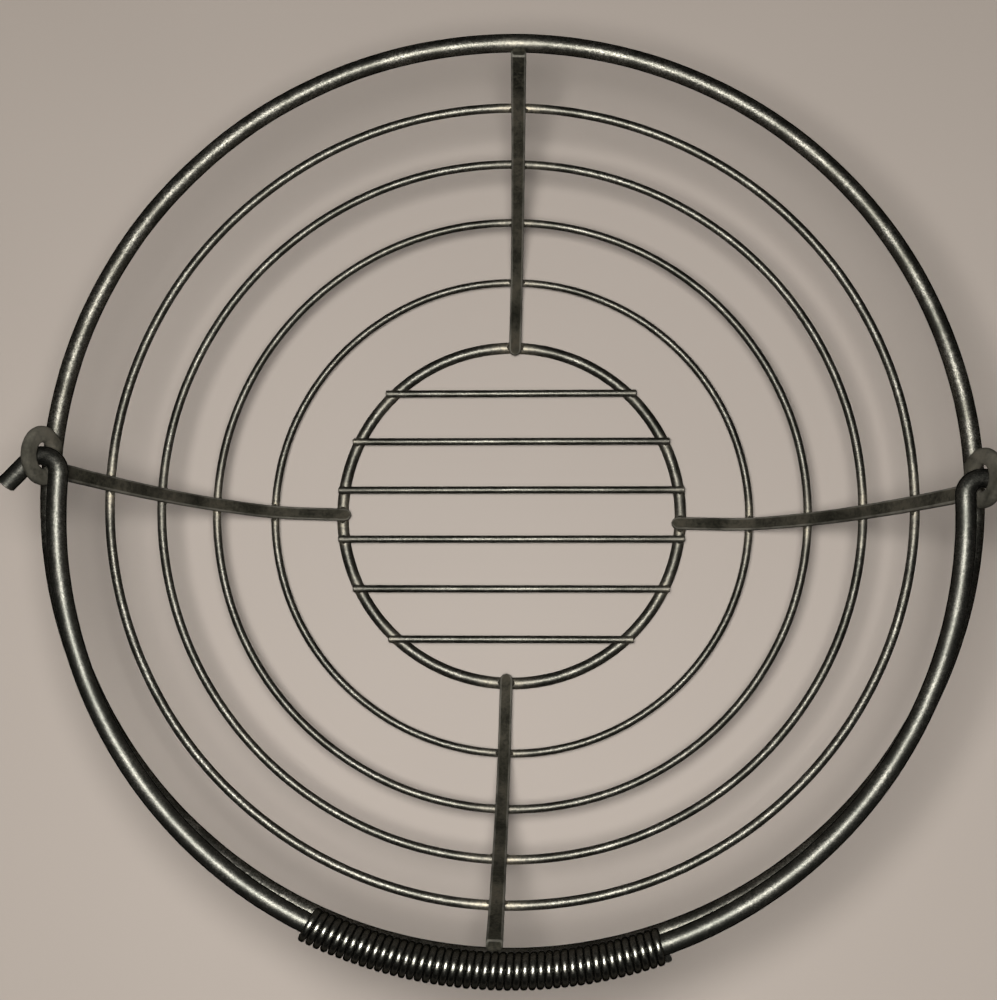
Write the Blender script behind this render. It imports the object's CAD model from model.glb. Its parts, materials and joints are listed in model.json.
"""Round wire basket with a swinging bail: looks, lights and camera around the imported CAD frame."""

import json
from math import acos, atan2, cos, degrees, hypot, pi, radians, sin, sqrt

import bpy
import numpy as np
from mathutils import Matrix, Vector, noise


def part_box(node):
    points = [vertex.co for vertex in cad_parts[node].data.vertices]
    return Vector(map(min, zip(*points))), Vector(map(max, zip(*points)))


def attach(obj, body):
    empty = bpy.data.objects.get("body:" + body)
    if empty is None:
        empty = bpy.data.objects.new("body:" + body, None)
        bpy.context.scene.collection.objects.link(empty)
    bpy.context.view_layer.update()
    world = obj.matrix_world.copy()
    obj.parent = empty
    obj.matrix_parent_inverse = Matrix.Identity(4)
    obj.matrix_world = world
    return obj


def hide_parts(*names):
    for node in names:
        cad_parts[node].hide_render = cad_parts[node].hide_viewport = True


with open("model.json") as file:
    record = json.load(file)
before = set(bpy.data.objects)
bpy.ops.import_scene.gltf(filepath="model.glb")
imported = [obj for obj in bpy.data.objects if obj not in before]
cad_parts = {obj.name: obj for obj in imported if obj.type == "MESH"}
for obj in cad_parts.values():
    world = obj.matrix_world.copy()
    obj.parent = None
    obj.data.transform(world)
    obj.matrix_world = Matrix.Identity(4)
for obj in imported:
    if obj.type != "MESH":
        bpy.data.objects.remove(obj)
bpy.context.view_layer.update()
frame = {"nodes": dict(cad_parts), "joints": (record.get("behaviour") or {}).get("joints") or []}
noise.seed_set(7)  # without a seed, noise_vector differs from run to run

# ---------------------------------------------------------------- sizes, from the CAD frame

MM = 0.001


def ring_size(node):
    """Radius and height of a hoop's middle line, and the radius of its wire."""
    low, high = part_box(node)
    wire = (high.z - low.z) / 2
    return (high.x - low.x) / 2 - wire, (high.z + low.z) / 2, wire


HOOPS = ["hoop_1", "hoop_2", "hoop_3", "hoop_4"]
BARS = [f"base_bar_{i}" for i in range(1, 7)]
BAR_GAP = 21.4 * MM
BAR_SHIFT = -1.5 * MM
BAR_TURN = radians(1.5)
BAR_INSET = 0.6 * MM  # how far a bar's end stays inside the base hoop's outer side
BASE_R, _, BASE_WIRE = ring_size("base_hoop")
RIM_R, RIM_Z, RIM_WIRE = ring_size("rim_hoop")
SWING = frame["joints"][0]
AXIS_Z = SWING["pos_m"][2]

# The flat bar of the ribs. Its edges are rounder where it is bent into an eye.
RIB_W = 5.3 * MM
RIB_T = 3.0 * MM
RIB_EDGE = 0.85 * MM
RING_EDGE = 1.38 * MM
CORNER_STEPS = 5
END_ROUND = 0.45 * MM  # rounding of a cut end
RIB_STEP = 1.2 * MM  # distance between two stations
PAST_RIM = 0.6 * MM  # how far a front or back rib passes the rim's middle

# How rubbed the bar's edges are, and the whole bar around the eye, from 0 to 1.
EDGE_POLISH = 0.55
RING_POLISH = 0.16

SKIN = 0.012  # unevenness of wire and bar, as a share of their width

# A rib seen from the side, from its foot: a straight, two bends and a nearly straight upper part.
# Each step is a length and a turn in degrees.
RIB_FOOT = Vector((72.05 * MM, 6.35 * MM))
RIB_LEN = 143.6 * MM
FOOT_SLOPE = 2.0
FOOT_LEN = 17.7 * MM
HEEL_R, HEEL_TURN = 24.5 * MM, 48.0
FLANK_R, FLANK_TURN = 132 * MM, 20.0
UPPER_R = 300 * MM
RIB_STEPS = [
    (FOOT_LEN, 0.0),
    (HEEL_R * radians(HEEL_TURN), HEEL_TURN),
    (FLANK_R * radians(FLANK_TURN), FLANK_TURN),
]
UPPER_LEN = RIB_LEN - sum(s[0] for s in RIB_STEPS)
RIB_STEPS.append((UPPER_LEN, degrees(UPPER_LEN / UPPER_R)))

# The eye at the top of a side rib: the bar swings aside, then turns back around the eye.
SIDE_OFFSET = 3.5 * MM
EYE_RISE = 11 * MM
EYE_R = 6.75 * MM
EYE_TURN = 215
EYE_TAIL = 2.2 * MM
EYE_STEP = 0.55 * MM  # distance between two stations
EYE_BLEND = (2 * MM, 9 * MM)  # where the rounder edge begins, and how long it takes
SWING_R = 8 * MM
SWING_RISE = sqrt((SWING_R + EYE_R) ** 2 - (SWING_R + SIDE_OFFSET) ** 2)
SWING_TURN = degrees(atan2(SWING_RISE, SWING_R + SIDE_OFFSET))
EYE_STEPS = [
    (EYE_RISE - SWING_RISE, 0.0),
    (SWING_R * radians(SWING_TURN), -SWING_TURN),
    (EYE_R * radians(EYE_TURN + SWING_TURN), EYE_TURN + SWING_TURN),
    (EYE_TAIL, 0.0),
]

# The bail, drawn in its own plane with the swing axis on X.
HOOK_R = 5.5 * MM
HOOK_TURN = 138.0
STUB_LEN = 10.5 * MM
ARM_LEN = 3.5 * MM
ARC_Y = -HOOK_R - ARM_LEN
BAIL_SIDES = 32
GRIP_WIRE = 2.3 * MM
GRIP_TURNS = 46
WIRE_FLATNESS = 0.78  # 1 is round wire, less is flatter at the crest
WIRE_FIT = 0.98  # keeps the wire just inside the CAD coil
GRIP_PITCH = GRIP_WIRE + 0.05 * MM
GRIP_SHIFT = -3 * MM
COIL_R = RIM_WIRE + GRIP_WIRE / 2 - 0.02 * MM
REST_GAP = 0.15 * MM  # between the folded grip and the rim


# ---------------------------------------------------------------- paths


def walk(steps, start, slope, every):
    """Follows steps from a 2D point. Gives (point, slope in degrees, distance) at each station."""
    out = [(Vector(start), slope, 0.0)]
    point, gone = Vector(start), 0.0
    for length, turn in steps:
        count = max(2, int(round(length / every)))
        for k in range(1, count + 1):
            part = length * k / count
            bent = turn * k / count
            if abs(turn) < 1e-9:
                move = Vector((cos(radians(slope)), sin(radians(slope)))) * part
            else:
                r = length / radians(turn)
                a, b = radians(slope), radians(slope + bent)
                move = Vector((r * (sin(b) - sin(a)), r * (cos(a) - cos(b))))
            out.append((point + move, slope + bent, gone + part))
        point, slope, gone = out[-1][0].copy(), slope + turn, gone + length
    return out


RIB_LINE = walk(RIB_STEPS, RIB_FOOT, FOOT_SLOPE, RIB_STEP)
RIB_TOP, TOP_SLOPE, _ = RIB_LINE[-1]
EYE_OUT = RIB_TOP.x + EYE_RISE * cos(radians(TOP_SLOPE))
BAIL_R = EYE_OUT - HOOK_R
CROWN = BAIL_R - ARC_Y
AXIS_TO_RIM = hypot(RIM_R, AXIS_Z - RIM_Z)
REST = RIM_WIRE + COIL_R + GRIP_WIRE / 2 + REST_GAP
DROOP = atan2(AXIS_Z - RIM_Z, RIM_R) - acos(
    (CROWN**2 + AXIS_TO_RIM**2 - REST**2) / (2 * CROWN * AXIS_TO_RIM)
)


def fold(x, y, z=0.0):
    """A point of the bail's own plane, in the frame at rest."""
    return Vector((x, y * cos(DROOP) - z * sin(DROOP), AXIS_Z + y * sin(DROOP) + z * cos(DROOP)))


def bar_ends(node):
    """The two end points of a base bar's middle line, and the radius of the bar."""
    low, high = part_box(node)
    y = (BARS.index(node) - 2.5) * BAR_GAP + BAR_SHIFT
    reach = sqrt((BASE_R + BASE_WIRE) ** 2 - y * y) - BAR_INSET
    spin = Matrix.Rotation(BAR_TURN, 3, "Z")
    z = (low.z + high.z) / 2
    return spin @ Vector((-reach, y, z)), spin @ Vector((reach, y, z)), (high.z - low.z) / 2


# Where bars are welded together: point, how far the heat of the weld shows, and how strongly.
RIM_TINT = (8 * MM, 0.4)
HOOP_TINT = (12 * MM, 0.85)
BAR_TINT = (6 * MM, 0.7)
EYE_TINT = (16 * MM, 1.0)
WELDS = []
for name in HOOPS + ["rim_hoop", "base_hoop"]:
    radius, height, wire = ring_size(name)
    reach, strength = RIM_TINT if name == "rim_hoop" else HOOP_TINT
    inner = radius - (0 if name == "base_hoop" else wire * 0.6)
    lift = wire if name == "base_hoop" else 0.5 * wire
    for x, y in ((0, -inner), (0, inner), (-inner, -SIDE_OFFSET), (inner, -SIDE_OFFSET)):
        WELDS.append((Vector((x, y, height + lift)), reach, strength))
for name in BARS:
    start, end, wire = bar_ends(name)
    for point in (start, end):
        WELDS.append((point - Vector((0, 0, wire)), *BAR_TINT))


# ---------------------------------------------------------------- mesh making


def finish_mesh(name, verts, faces, body, stands_for=(), worn=None, sharp=38, spots=()):
    """Makes the object with its two wear attributes, and ties it to the frame.

    spots are more heat tints, for this piece alone. sharp is the angle that shades as an edge.
    """
    mesh = bpy.data.meshes.new(name)
    mesh.from_pydata([tuple(v) for v in verts], [], faces)
    mesh.validate()
    mesh.polygons.foreach_set("use_smooth", [True] * len(mesh.polygons))
    mesh.set_sharp_from_angle(angle=radians(sharp))
    co = np.array([tuple(v.co) for v in mesh.vertices])
    heat = np.zeros(len(co))
    if body == "basket":
        for point, reach, strength in WELDS + list(spots):
            away = np.linalg.norm(co - np.array(point), axis=1)
            heat = np.maximum(heat, strength * np.exp(-((away / reach) ** 2)))
    worn = np.zeros(len(co)) if worn is None else np.array(worn)
    for kind, values in (("weld_tint", heat), ("worn", worn)):
        layer = mesh.attributes.new(kind, "FLOAT", "POINT")
        layer.data.foreach_set("value", values.astype(np.float32))
    obj = bpy.data.objects.new(name, mesh)
    bpy.context.scene.collection.objects.link(obj)
    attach(obj, body)
    if stands_for:
        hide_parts(*stands_for)
    return obj


def loft(rings, closed=False):
    """Joins equal rings of points into walls, and caps the two ends unless the loop is closed."""
    n = len(rings[0])
    verts = [p for ring in rings for p in ring]
    faces = []
    last = len(rings) if closed else len(rings) - 1
    for i in range(last):
        a, b = i * n, ((i + 1) % len(rings)) * n
        faces += [(a + k, a + (k + 1) % n, b + (k + 1) % n, b + k) for k in range(n)]
    if not closed:
        faces.append(tuple(reversed(range(n))))
        faces.append(tuple(range((len(rings) - 1) * n, len(rings) * n)))
    return verts, faces


def circle_ring(center, u, v, radius, sides):
    return [
        center + radius * (cos(2 * pi * k / sides) * u + sin(2 * pi * k / sides) * v)
        for k in range(sides)
    ]


def wobble(point, size, seed):
    """A smooth small shift, the same on every run."""
    return noise.noise_vector(point * 28 + Vector((seed, 0, 0))) * size


def rod_rings(centers, sides_dir, radius, sides, chamfer):
    """Rings of a round rod along centers. sides_dir is a direction across the rod at each one."""
    rings = []
    count = len(centers)
    for i, c in enumerate(centers):
        ahead = centers[min(i + 1, count - 1)] - centers[max(i - 1, 0)]
        across = sides_dir[i] - ahead * (sides_dir[i].dot(ahead) / ahead.length_squared)
        across.normalize()
        up = ahead.normalized().cross(across)
        rings.append(circle_ring(c, across, up, radius, sides))
    for end, inner in ((0, 1), (-1, -2)):
        out = (centers[end] - centers[inner]).normalized()
        flat = [centers[end] + (p - centers[end]) * (1 - chamfer / radius) for p in rings[end]]
        rings[end] = [p - out * chamfer for p in rings[end]]
        rings = [flat] + rings if end == 0 else rings + [flat]
    return rings


def bar_section(width, thick, edge):
    """A flat bar's section with rounded edges, as (across, up) pairs, and 1 on each edge."""
    edge = min(edge, width / 2 - 1e-6, thick / 2 - 1e-6)
    points, marks = [], []
    for sx, sy, start in ((1, 1, 0), (-1, 1, 90), (-1, -1, 180), (1, -1, 270)):
        for k in range(CORNER_STEPS + 1):
            a = radians(start + 90 * k / CORNER_STEPS)
            across = sx * (width / 2 - edge) + edge * cos(a)
            points.append((across, sy * (thick / 2 - edge) + edge * sin(a)))
            marks.append(1.0 if 0 < k < CORNER_STEPS else 0.0)
    return points, marks


def flat_bar(name, stations, stands_for, round_end=False, spots=()):
    """A flat bar along stations of (center, across, up, edge radius).

    It starts with a round end, and stops with a round end or a cut one.
    """
    rings, worn = [], []

    def put(center, across, up, width, thick, edge):
        points, marks = bar_section(width, thick, edge)
        drift = 1 + SKIN * noise.noise(center * 160)
        rings.append([center + u * drift * across + v * up for u, v in points])
        ring = min(1, max(0, (edge - RIB_EDGE) / (RING_EDGE - RIB_EDGE)))
        worn.extend(ring * RING_POLISH + m * EDGE_POLISH * (1 - ring) for m in marks)

    def tip(station, outward):
        center, across, up, edge = station
        turns = (17, 34, 50, 64, 76, 85)
        for turn in turns if outward > 0 else reversed(turns):
            a = radians(turn)
            move = across.cross(up).normalized() * (RIB_W / 2 * sin(a)) * outward * turn_sign
            width = max(RIB_W * cos(a), 0.5 * MM)
            thick = RIB_T * (0.72 + 0.28 * cos(a))
            put(center + move, across, up, width, thick, min(edge, width * 0.45))

    ahead = stations[1][0] - stations[0][0]
    turn_sign = 1 if stations[0][1].cross(stations[0][2]).dot(ahead) > 0 else -1
    tip(stations[0], -1)
    for center, across, up, edge in stations:
        put(center, across, up, RIB_W, RIB_T, edge)
    if round_end:
        tip(stations[-1], 1)
    else:
        center, across, up, edge = stations[-1]
        out = (center - stations[-2][0]).normalized()
        lip = [1.0 if v > 0 else 0.2 for _, v in bar_section(RIB_W, RIB_T, edge)[0]]
        worn[-len(lip):] = lip
        for turn in (22, 45, 67, 90):
            inset = 2 * END_ROUND * (1 - cos(radians(turn)))
            place = center + out * END_ROUND * sin(radians(turn))
            put(place, across, up, RIB_W - inset, RIB_T - inset, edge)
            worn[-len(lip):] = lip
        inset += 0.3 * MM
        put(center + out * END_ROUND, across, up, RIB_W - inset, RIB_T - inset, edge)
        worn[-len(lip):] = [0.0] * len(lip)
    verts, faces = loft(rings)
    return finish_mesh(
        name, verts, faces, "basket", [stands_for], worn, 60, spots
    )


# ---------------------------------------------------------------- basket


def make_hoop(node, sides, size, seed):
    """A hoop of round wire. size is how far it wanders from a true circle."""
    radius, height, wire = ring_size(node)
    count = max(240, int(2 * pi * radius / (1.6 * MM)))
    centers, sides_dir = [], []
    for i in range(count):
        a = 2 * pi * i / count
        out = Vector((cos(a), sin(a), 0))
        shift = wobble(out * 0.15, size, seed)
        centers.append(out * (radius + shift.x) + Vector((0, 0, height + shift.y)))
        sides_dir.append(out)
    rings = []
    for center, out in zip(centers, sides_dir):
        uneven = wire * (1 - SKIN + SKIN * noise.noise(center * 90))
        rings.append(circle_ring(center, out, Vector((0, 0, 1)), uneven, sides))
    verts, faces = loft(rings, closed=True)
    return finish_mesh(f"{node}_wire", verts, faces, "basket", [node])


def make_bar(node):
    """A straight bar of the base, a trifle uneven."""
    start, end, wire = bar_ends(node)
    count = 90
    centers = []
    for i in range(count + 1):
        point = start.lerp(end, i / count)
        sag = 0.05 * MM * noise.noise(Vector((point.x * 20, point.y * 40, 3)))
        centers.append(point + Vector((0, sag, 0)))
    rings = rod_rings(centers, [Vector((0, 1, 0))] * len(centers), wire, 22, 0.35 * MM)
    verts, faces = loft(rings)
    return finish_mesh(f"{node}_rod", verts, faces, "basket", [node])


def rib_stations(turn, sideways, top):
    """Stations of a rib in the frame. turn is its place around Z, in degrees.

    top is true for a rib that ends at the rim.
    """
    spin = Matrix.Rotation(radians(turn), 3, "Z")
    stations = []
    line = list(RIB_LINE)
    if top:
        end, slope, _ = line[-1]
        step = Vector((cos(radians(slope)), sin(radians(slope))))
        line.append((end + step * (PAST_RIM - END_ROUND), slope, 0))
    for point, slope, _ in line:
        a = radians(slope)
        up = Vector((-sin(a), 0, cos(a)))
        center = Vector((point.x, sideways, point.y))
        stations.append((spin @ center, spin @ Vector((0, 1, 0)), spin @ up, RIB_EDGE))
    return stations


def side_stations():
    """Stations of the right rib with its eye."""
    stations = rib_stations(0, -SIDE_OFFSET, False)
    a = radians(TOP_SLOPE)
    along, up = Vector((cos(a), 0, sin(a))), Vector((-sin(a), 0, cos(a)))
    base = Vector((RIB_TOP.x, -SIDE_OFFSET, RIB_TOP.y))
    line = walk(EYE_STEPS, (0, 0), 0, EYE_STEP)
    for point, slope, gone in line[1:]:
        b = radians(slope)
        across = -sin(b) * along + cos(b) * Vector((0, 1, 0))
        blend = min(1, max(0, (gone - EYE_BLEND[0]) / EYE_BLEND[1]))
        edge = RIB_EDGE + (RING_EDGE - RIB_EDGE) * blend
        center = base + point.x * along + point.y * Vector((0, 1, 0))
        stations.append((center, across, up, edge))
    return stations


MIRROR = Vector((-1, 1, 1))


def mirror_x(stations):
    return [tuple(v * MIRROR if isinstance(v, Vector) else v for v in s) for s in stations]


def lump(center, size, turn, seed, rough=0.16):
    """A small bead of weld metal: a squashed ball with an uneven skin."""
    spin = Matrix.Rotation(turn, 3, "Z")
    verts, faces = [], []
    rows, cols = 12, 18
    for i in range(rows + 1):
        a = pi * i / rows
        for k in range(cols):
            b = 2 * pi * k / cols
            d = Vector((sin(a) * cos(b), sin(a) * sin(b), cos(a)))
            swell = 1 + rough * noise.noise(d * 2.1 + Vector((seed * 3.7, 0, 0)))
            p = Vector((d.x * size[0], d.y * size[1], d.z * size[2])) * swell
            verts.append(center + spin @ p)
    for i in range(rows):
        for k in range(cols):
            a, b = i * cols + k, i * cols + (k + 1) % cols
            faces.append((a, a + cols, b + cols, b))
    return verts, faces


# Half sizes of the weld beads: along the weld, and as a share of the hoop's wire across it.
BEAD_LEN = 1.5 * MM
BEAD_SHARE = 0.52
CAP_SIZE = (1.1 * MM, 2.45 * MM, 0.8 * MM)  # over the cut end of a front or back rib
BAR_BEAD = (1.2 * MM, 1.9 * MM, 0.75 * MM)


def make_welds():
    """The weld metal at every crossing, as one piece."""
    verts, faces = [], []

    def add(v, f):
        base = len(verts)
        verts.extend(v)
        faces.extend(tuple(i + base for i in q) for q in f)

    seed = 0
    for name in HOOPS + ["rim_hoop", "base_hoop"]:
        radius, height, wire = ring_size(name)
        for turn, shift in ((0, -SIDE_OFFSET), (90, 0), (180, SIDE_OFFSET), (270, 0)):
            spin = Matrix.Rotation(radians(turn), 3, "Z")
            near = min(RIB_LINE, key=lambda s: hypot(s[0].x - radius, s[0].y - height))
            a = radians(near[1])
            rib = near[0] + Vector((sin(a), -cos(a))) * (RIB_T / 2)
            hoop = Vector((radius, height))
            toward = (rib - hoop).normalized()
            touch = hoop + toward * (wire * 0.86)
            ends_here = name == "rim_hoop" and turn in (90, 270)
            for side in () if ends_here else (-1, 1):
                seed += 1
                across = side * RIB_W * 0.42
                c = spin @ Vector((touch.x, shift + across, touch.y))
                size = (wire * BEAD_SHARE, BEAD_LEN, wire * BEAD_SHARE)
                add(*lump(c, size, radians(turn), seed))
    along = Vector((cos(radians(TOP_SLOPE)), sin(radians(TOP_SLOPE))))
    tip = RIB_TOP + along * (PAST_RIM - 0.1 * MM)
    cap = Vector((tip.x + 1.15 * MM, 0, tip.y - 0.2 * MM))
    for turn in (90, 270):
        seed += 1
        place = Matrix.Rotation(radians(turn), 3, "Z") @ cap
        add(*lump(place, CAP_SIZE, radians(turn), seed, 0.1))
    for name in BARS:
        start, end, wire = bar_ends(name)
        for point, other in ((start, end), (end, start)):
            seed += 1
            inward = (other - point).normalized()
            past_ring = hypot(point.x, point.y) - BASE_R
            place = point + inward * past_ring - Vector((0, 0, wire - 0.25 * MM))
            lean = atan2(place.y, place.x)
            add(*lump(place, BAR_BEAD, lean, seed))
    return finish_mesh("weld_beads", verts, faces, "basket", (), None, 80)


# ---------------------------------------------------------------- bail


def bail_line():
    """Middle line of the bail rod in its own plane, from the left stub to the right one."""
    steps = [(ARM_LEN, 0.0), (HOOK_R * radians(HOOK_TURN), -HOOK_TURN), (STUB_LEN, 0.0)]
    right = [p for p, _, _ in walk(steps, (BAIL_R, ARC_Y), 90, 0.6 * MM)]
    arc = [
        Vector((BAIL_R * cos(a), ARC_Y + BAIL_R * sin(a)))
        for a in (pi + pi * i / 300 for i in range(1, 300))
    ]
    left = [Vector((-p.x, p.y)) for p in reversed(right)]
    return left + arc + right


def make_bail():
    """The bent rod with its two hooks. Its cut ends are rubbed."""
    flat = bail_line()
    up = fold(0, 0, 1) - fold(0, 0, 0)
    centers = [fold(p.x, p.y) for p in flat]
    rings = rod_rings(centers, [up] * len(centers), RIM_WIRE * 0.995, BAIL_SIDES, 0.3 * MM)
    verts, faces = loft(rings)
    rubbed = 2 * BAIL_SIDES  # the two rings that close each end
    ends = [1.0 if min(i, len(verts) - 1 - i) < rubbed else 0.0 for i in range(len(verts))]
    return finish_mesh("bail_bent_rod", verts, faces, "bail", ["bail_rod"], ends)


def make_grip():
    """The coiled grip: nearly round wire in a close helix around the middle of the bail."""
    per_turn, sides = 36, 20
    total = GRIP_TURNS * per_turn
    length = GRIP_TURNS * GRIP_PITCH
    rings = []
    for i in range(total + 1):
        dist = GRIP_SHIFT + GRIP_PITCH * i / per_turn - length / 2
        spin = 2 * pi * i / per_turn
        a = dist / BAIL_R
        out = fold(sin(a), -cos(a)) - fold(0, 0)
        along = fold(cos(a), sin(a)) - fold(0, 0)
        up = fold(0, 0, 1) - fold(0, 0)
        middle = fold(BAIL_R * sin(a), ARC_Y - BAIL_R * cos(a))
        across = cos(spin) * out + sin(spin) * up
        round_way = -sin(spin) * out + cos(spin) * up
        ahead = (COIL_R * 2 * pi * round_way + GRIP_PITCH * along).normalized()
        side = ahead.cross(across)
        loose = 1 + 0.006 * noise.noise(Vector((dist * 300, 0, 5)))
        ring = []
        center = middle + COIL_R * loose * across
        for k in range(sides):
            a = 2 * pi * k / sides
            u = abs(cos(a)) ** WIRE_FLATNESS * (1 if cos(a) > 0 else -1)
            v = abs(sin(a)) ** WIRE_FLATNESS * (1 if sin(a) > 0 else -1)
            ring.append(center + (across * u + side * v) * GRIP_WIRE / 2 * WIRE_FIT)
        rings.append(ring)
    verts, faces = loft(rings)
    return finish_mesh("grip_wound_wire", verts, faces, "bail", ["grip_coil"])


# ---------------------------------------------------------------- materials


class Nodes:
    """Short hand for building a node tree."""

    def __init__(self, material):
        material.use_nodes = True
        self.tree = material.node_tree
        self.shader = self.tree.nodes["Principled BSDF"]

    def add(self, kind, inputs=(), **settings):
        node = self.tree.nodes.new(kind)
        for key, value in settings.items():
            setattr(node, key, value)
        for key, value in dict(inputs).items():
            self.put(node.inputs[key], value)
        return node

    def put(self, socket, value):
        if isinstance(value, bpy.types.NodeSocket):
            self.tree.links.new(value, socket)
        else:
            socket.default_value = value

    def noise(self, coords, scale, detail, rough, warp=0.0):
        values = {"Vector": coords, "Scale": scale, "Detail": detail, "Roughness": rough}
        values["Distortion"] = warp
        return self.add("ShaderNodeTexNoise", values).outputs["Fac"]

    def ramp(self, value, stops):
        """A grey ramp between two stops of (place, shade)."""
        node = self.add("ShaderNodeValToRGB", {"Fac": value})
        for element, (place, shade) in zip(node.color_ramp.elements, stops):
            element.position = place
            element.color = (shade, shade, shade, 1)
        return node.outputs["Color"]

    def mix(self, fac, a, b, how="MIX"):
        node = self.add("ShaderNodeMix", data_type="RGBA", blend_type=how)
        self.put(node.inputs[0], fac)
        self.put(node.inputs[6], a)
        self.put(node.inputs[7], b)
        return node.outputs[2]

    def math(self, how, a, b, clamp=False):
        node = self.add("ShaderNodeMath", operation=how, use_clamp=clamp)
        self.put(node.inputs[0], a)
        self.put(node.inputs[1], b)
        return node.outputs[0]


# Noise scales of the steel's skin, from fine to wide, in features per metre.
FINE, MOTTLE, CLOUD, PATCH = 2300, 900, 85, 24
HEAT_DULLS = 0.16  # roughness that a heat tint adds
RUB_SHINES = 0.38  # roughness that rubbing takes off mill scale
SCALE_LEVEL = 0.13  # how little mill scale reflects


def steel(name, dark, brown, bare, warm, rough, cover, grain=1.0, coarse=1.0, scaled=False):
    """Blackened steel: bare specks show through the black, and welds leave a heat tint.

    rough and cover are (low, high) pairs: the roughness, and how much bare steel shows.
    grain is the depth of the skin's unevenness and coarse its size.
    A scaled bar is dull with mill scale, and only what has been rubbed shines.
    """
    material = bpy.data.materials.new(name)
    n = Nodes(material)
    coords = n.add("ShaderNodeTexCoord").outputs["Object"]
    heat = n.add("ShaderNodeAttribute", attribute_name="weld_tint").outputs["Fac"]
    worn = n.add("ShaderNodeAttribute", attribute_name="worn").outputs["Fac"]
    fine = n.noise(coords, FINE / coarse, 3, 0.7)
    mottle = n.noise(coords, MOTTLE / coarse, 4, 0.65, 0.4)
    cloud = n.noise(coords, CLOUD, 4, 0.6)
    patch = n.noise(coords, PATCH, 3, 0.55)

    # How much bare steel shows, from 0 to 1.
    dots = n.ramp(fine, [(0.42, 0.0), (0.56, 1.0)])
    specks = n.math("MULTIPLY", dots, n.ramp(mottle, [(0.4, 0.15), (0.56, 1.0)]))
    amount = n.ramp(cloud, [(0.36, cover[0]), (0.64, cover[1])])
    tint = n.math("MULTIPLY", heat, n.ramp(mottle, [(0.36, 0.3), (0.58, 1.0)]))
    tint = n.math("MULTIPLY", tint, n.ramp(cloud, [(0.38, 0.35), (0.6, 1.0)]))
    rubbed = n.math("MULTIPLY", worn, n.ramp(cloud, [(0.36, 0.15), (0.62, 0.85)]))
    specks = n.math("MULTIPLY", specks, amount)
    shown = n.math("MAXIMUM", specks, n.math("MULTIPLY", tint, 0.85), True)

    grainy = n.ramp(patch, [(0.35, 0.3), (0.65, 1.0)])
    grainy = n.math("MULTIPLY", grainy, n.ramp(fine, [(0.4, 0.0), (0.6, 1.0)]))
    black = n.mix(grainy, (*dark, 1), (*brown, 1))
    color = n.mix(shown, black, n.mix(tint, (*bare, 1), (*warm, 1)))
    n.put(n.shader.inputs["Base Color"], n.mix(rubbed, color, (*RUBBED, 1)))

    # Roughness follows the mottle, and the reflections follow what is bare or rubbed.
    level = {"Value": mottle, "From Min": 0.3, "From Max": 0.7}
    level.update({"To Min": rough[0], "To Max": rough[1]})
    spread = n.add("ShaderNodeMapRange", level).outputs[0]
    spread = n.math("ADD", spread, n.math("MULTIPLY", heat, HEAT_DULLS), True)
    if scaled:
        spread = n.math("SUBTRACT", spread, n.math("MULTIPLY", rubbed, RUB_SHINES), True)
        n.put(n.shader.inputs["Metallic"], rubbed)
        n.shader.inputs["Specular IOR Level"].default_value = SCALE_LEVEL
    else:
        n.shader.inputs["Metallic"].default_value = 1.0
    n.put(n.shader.inputs["Roughness"], spread)

    height = n.math("ADD", n.math("MULTIPLY", fine, 0.5 * grain), n.math("MULTIPLY", mottle, grain))
    height = n.math("ADD", height, n.math("MULTIPLY", cloud, 1.2))
    bump = n.add("ShaderNodeBump", {"Strength": 0.6, "Distance": 0.0001, "Height": height})
    n.put(n.shader.inputs["Normal"], bump.outputs["Normal"])
    n.shader.inputs["Specular Tint"].default_value = (0.1, 0.1, 0.1, 1)
    return material


# ---------------------------------------------------------------- build

# Bare and rubbed steel, and its brassy heat tint.
BARE = (0.2, 0.194, 0.172)
BRASSY = (0.23, 0.2, 0.145)
RUBBED = (0.12, 0.116, 0.1)

ROD_STEEL = steel(
    "black_rod",
    dark=(0.0165, 0.017, 0.0145),
    brown=(0.044, 0.0425, 0.0355),
    bare=BARE,
    warm=BRASSY,
    rough=(0.37, 0.47),
    cover=(0.05, 0.45),
)
BAIL_STEEL = steel(
    "black_bail",
    dark=(0.02, 0.021, 0.0185),
    brown=(0.036, 0.0355, 0.031),
    bare=BARE,
    warm=BRASSY,
    rough=(0.38, 0.48),
    cover=(0.0, 0.2),
    grain=0.6,
)
GRIP_STEEL = steel(
    "black_grip",
    dark=(0.045, 0.046, 0.04),
    brown=(0.065, 0.064, 0.056),
    bare=BARE,
    warm=BRASSY,
    rough=(0.23, 0.3),
    cover=(0.0, 0.15),
    grain=0.6,
)
STRAP_STEEL = steel(
    "black_strap",
    dark=(0.0007, 0.0008, 0.0005),
    brown=(0.0075, 0.0073, 0.005),
    bare=(0.055, 0.052, 0.041),
    warm=(0.022, 0.018, 0.013),
    rough=(0.7, 0.85),
    cover=(0.03, 0.35),
    grain=3.2,
    coarse=2.0,
    scaled=True,
)

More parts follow.
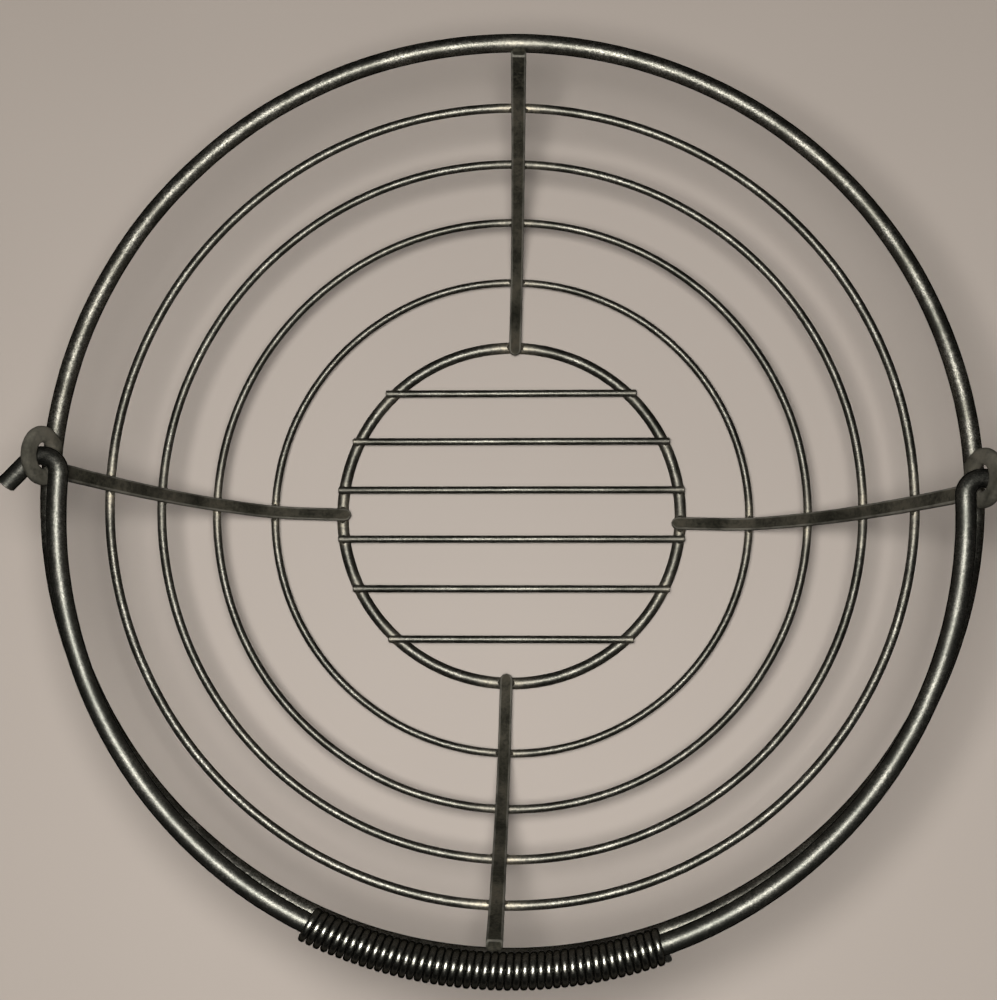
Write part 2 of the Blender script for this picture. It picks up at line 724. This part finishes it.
# Each piece with its material. The numbers of a hoop are its sides, its wander and its seed.
parts = []
for i, name in enumerate(HOOPS):
    parts.append((make_hoop(name, 24, 0.08 * MM, 3.1 * i), ROD_STEEL))
parts.append((make_hoop("base_hoop", 28, 0.0, 17), ROD_STEEL))
parts.append((make_hoop("rim_hoop", 36, 0.12 * MM, 29), ROD_STEEL))
for name in BARS:
    parts.append((make_bar(name), ROD_STEEL))
front, back = rib_stations(-90, 0, True), rib_stations(90, 0, True)
right = side_stations()
left = mirror_x(right)
right_eye, left_eye = [(right[-1][0], *EYE_TINT)], [(left[-1][0], *EYE_TINT)]
parts.append((flat_bar("rib_front_strap", front, "rib_front"), STRAP_STEEL))
parts.append((flat_bar("rib_back_strap", back, "rib_back"), STRAP_STEEL))
parts.append((flat_bar("rib_right_strap", right, "rib_right", True, right_eye), STRAP_STEEL))
parts.append((flat_bar("rib_left_strap", left, "rib_left", True, left_eye), STRAP_STEEL))
parts.append((make_welds(), STRAP_STEEL))
parts.append((make_bail(), BAIL_STEEL))
parts.append((make_grip(), GRIP_STEEL))
for obj, material in parts:
    obj.data.materials.append(material)

for node in frame["nodes"].values():
    node.data.materials.clear()
    node.data.materials.append(GRIP_STEEL if node.name == "grip_coil" else ROD_STEEL)

# ---------------------------------------------------------------- floor, lights and camera

# The floor is darker in the middle, where the key light is closest to it.
FLOOR_MIDDLE = 0.15
FLOOR_EDGE = 0.75
FLOOR_REACH = 0.42
FLOOR_WARMTH = (1.0, 0.89, 0.8, 1)
FLOOR_HALF = 6.0

# Past the key light's reach the floor glows, and the backdrop near the horizon matches it.
GLOW_FROM, GLOW_TO = 0.48, 1.25
FAR_LIGHT = (0.31, 0.276, 0.248)
TOP_LIGHT = (0.014, 0.0137, 0.0134)
BACKDROP = ((0.0, FAR_LIGHT), (0.13, FAR_LIGHT), (0.4, TOP_LIGHT))

# The camera: a hand-held view from nearly straight above, tilted and rolled a little.
CAMERA_PLACE = Vector((5.79, -49.17, 420.42))
CAMERA_TILT, CAMERA_LEAN, CAMERA_ROLL = radians(-7.408), radians(1.557), radians(1.625)
SENSOR = 36
FOCAL_SHARE = 0.963

# The key light is a soft disc just above the camera: how far it sits to the right of the lens and
# up from it in the picture, and how much higher in the room.
KEY_RIGHT, KEY_UP, KEY_LIFT = -0.0165, 0.0125, 0.01
KEY_AIM = (0, -0.02, 0)
KEY_SIZE = 0.11
KEY_POWER = 5.6
KEY_COLOR = (1, 0.97, 0.93)
FILL_AIM = (0, 0, 0.05)
FILL_SIZE = 0.9


def make_floor():
    floor_material = bpy.data.materials.new("pale_floor")
    n = Nodes(floor_material)
    coords = n.add("ShaderNodeTexCoord").outputs["Object"]
    away = n.add("ShaderNodeVectorMath", {0: coords}, operation="LENGTH").outputs["Value"]
    share = n.math("ADD", n.math("POWER", n.math("MULTIPLY", away, 1 / FLOOR_REACH), 2.0), 1.0)
    level = n.math("MULTIPLY", n.math("POWER", share, 1.6), FLOOR_MIDDLE)
    level = n.math("MINIMUM", level, FLOOR_EDGE)
    tone = n.math("MULTIPLY", level, n.ramp(n.noise(coords, 5, 3, 0.5), [(0.3, 0.96), (0.7, 1.0)]))
    tinted = n.mix(1.0, tone, FLOOR_WARMTH, "MULTIPLY")
    n.put(n.shader.inputs["Base Color"], tinted)
    n.shader.inputs["Roughness"].default_value = 0.85
    glow = {"Value": away, "From Min": GLOW_FROM, "From Max": GLOW_TO}
    n.put(n.shader.inputs["Emission Strength"], n.add("ShaderNodeMapRange", glow).outputs[0])
    n.shader.inputs["Emission Color"].default_value = (*FAR_LIGHT, 1)
    mesh = bpy.data.meshes.new("floor")
    r = FLOOR_HALF
    mesh.from_pydata([(-r, -r, 0), (r, -r, 0), (r, r, 0), (-r, r, 0)], [], [(0, 1, 2, 3)])
    floor = bpy.data.objects.new("floor", mesh)
    bpy.context.scene.collection.objects.link(floor)
    mesh.materials.append(floor_material)


def area_light(name, place, aim, size, power, color, round_shape=False):
    data = bpy.data.lights.new(name, "AREA")
    data.shape = "DISK" if round_shape else "SQUARE"
    data.size = size
    data.energy = power
    data.color = color
    light = bpy.data.objects.new(name, data)
    bpy.context.scene.collection.objects.link(light)
    light.location = place
    light.rotation_euler = (Vector(place) - Vector(aim)).to_track_quat("Z", "Y").to_euler()


def make_world():
    """A backdrop that is pale at the horizon and dark above."""
    world = bpy.data.worlds.new("studio")
    bpy.context.scene.world = world
    world.use_nodes = True
    tree = world.node_tree
    background = tree.nodes["Background"]
    coords = tree.nodes.new("ShaderNodeTexCoord")
    split = tree.nodes.new("ShaderNodeSeparateXYZ")
    ramp = tree.nodes.new("ShaderNodeValToRGB")
    tree.links.new(coords.outputs["Generated"], split.inputs[0])
    tree.links.new(split.outputs["Z"], ramp.inputs["Fac"])
    tree.links.new(ramp.outputs["Color"], background.inputs["Color"])
    stops = ramp.color_ramp.elements
    stops.new(0.5)
    for stop, (height, shade) in zip(stops, BACKDROP):
        stop.position = height
        stop.color = (*shade, 1)
    background.inputs["Strength"].default_value = 1.0


def make_camera():
    """Makes the camera, and gives its pose."""
    tilt, lean, roll = CAMERA_TILT, CAMERA_LEAN, CAMERA_ROLL
    rx = Matrix(((1, 0, 0), (0, cos(tilt), -sin(tilt)), (0, sin(tilt), cos(tilt))))
    ry = Matrix(((cos(lean), 0, sin(lean)), (0, 1, 0), (-sin(lean), 0, cos(lean))))
    rz = Matrix(((cos(roll), -sin(roll), 0), (sin(roll), cos(roll), 0), (0, 0, 1)))
    flip = Matrix(((1, 0, 0), (0, -1, 0), (0, 0, -1)))
    pose = (flip @ rz @ rx @ ry @ flip).transposed().to_4x4()
    pose.translation = CAMERA_PLACE * MM
    data = bpy.data.cameras.new("camera")
    data.sensor_width = SENSOR
    data.lens = SENSOR * FOCAL_SHARE
    data.clip_start = 0.01
    camera = bpy.data.objects.new("camera", data)
    bpy.context.scene.collection.objects.link(camera)
    camera.matrix_world = pose
    bpy.context.scene.camera = camera
    return pose


make_floor()
make_world()
view = make_camera()
eye = view.translation
right_way, up_way = view.col[0].to_3d(), view.col[1].to_3d()
key_place = eye + right_way * KEY_RIGHT + up_way * KEY_UP + Vector((0, 0, KEY_LIFT))
area_light("key", key_place, KEY_AIM, KEY_SIZE, KEY_POWER, KEY_COLOR, True)
area_light("fill_left", (-0.9, 0.7, 1.1), FILL_AIM, FILL_SIZE, 0.6, (1, 0.98, 0.96))
area_light("fill_right", (1.1, -0.6, 1.0), FILL_AIM, FILL_SIZE, 0.4, (0.97, 0.98, 1))

bpy.context.scene.view_settings.view_transform = "Standard"
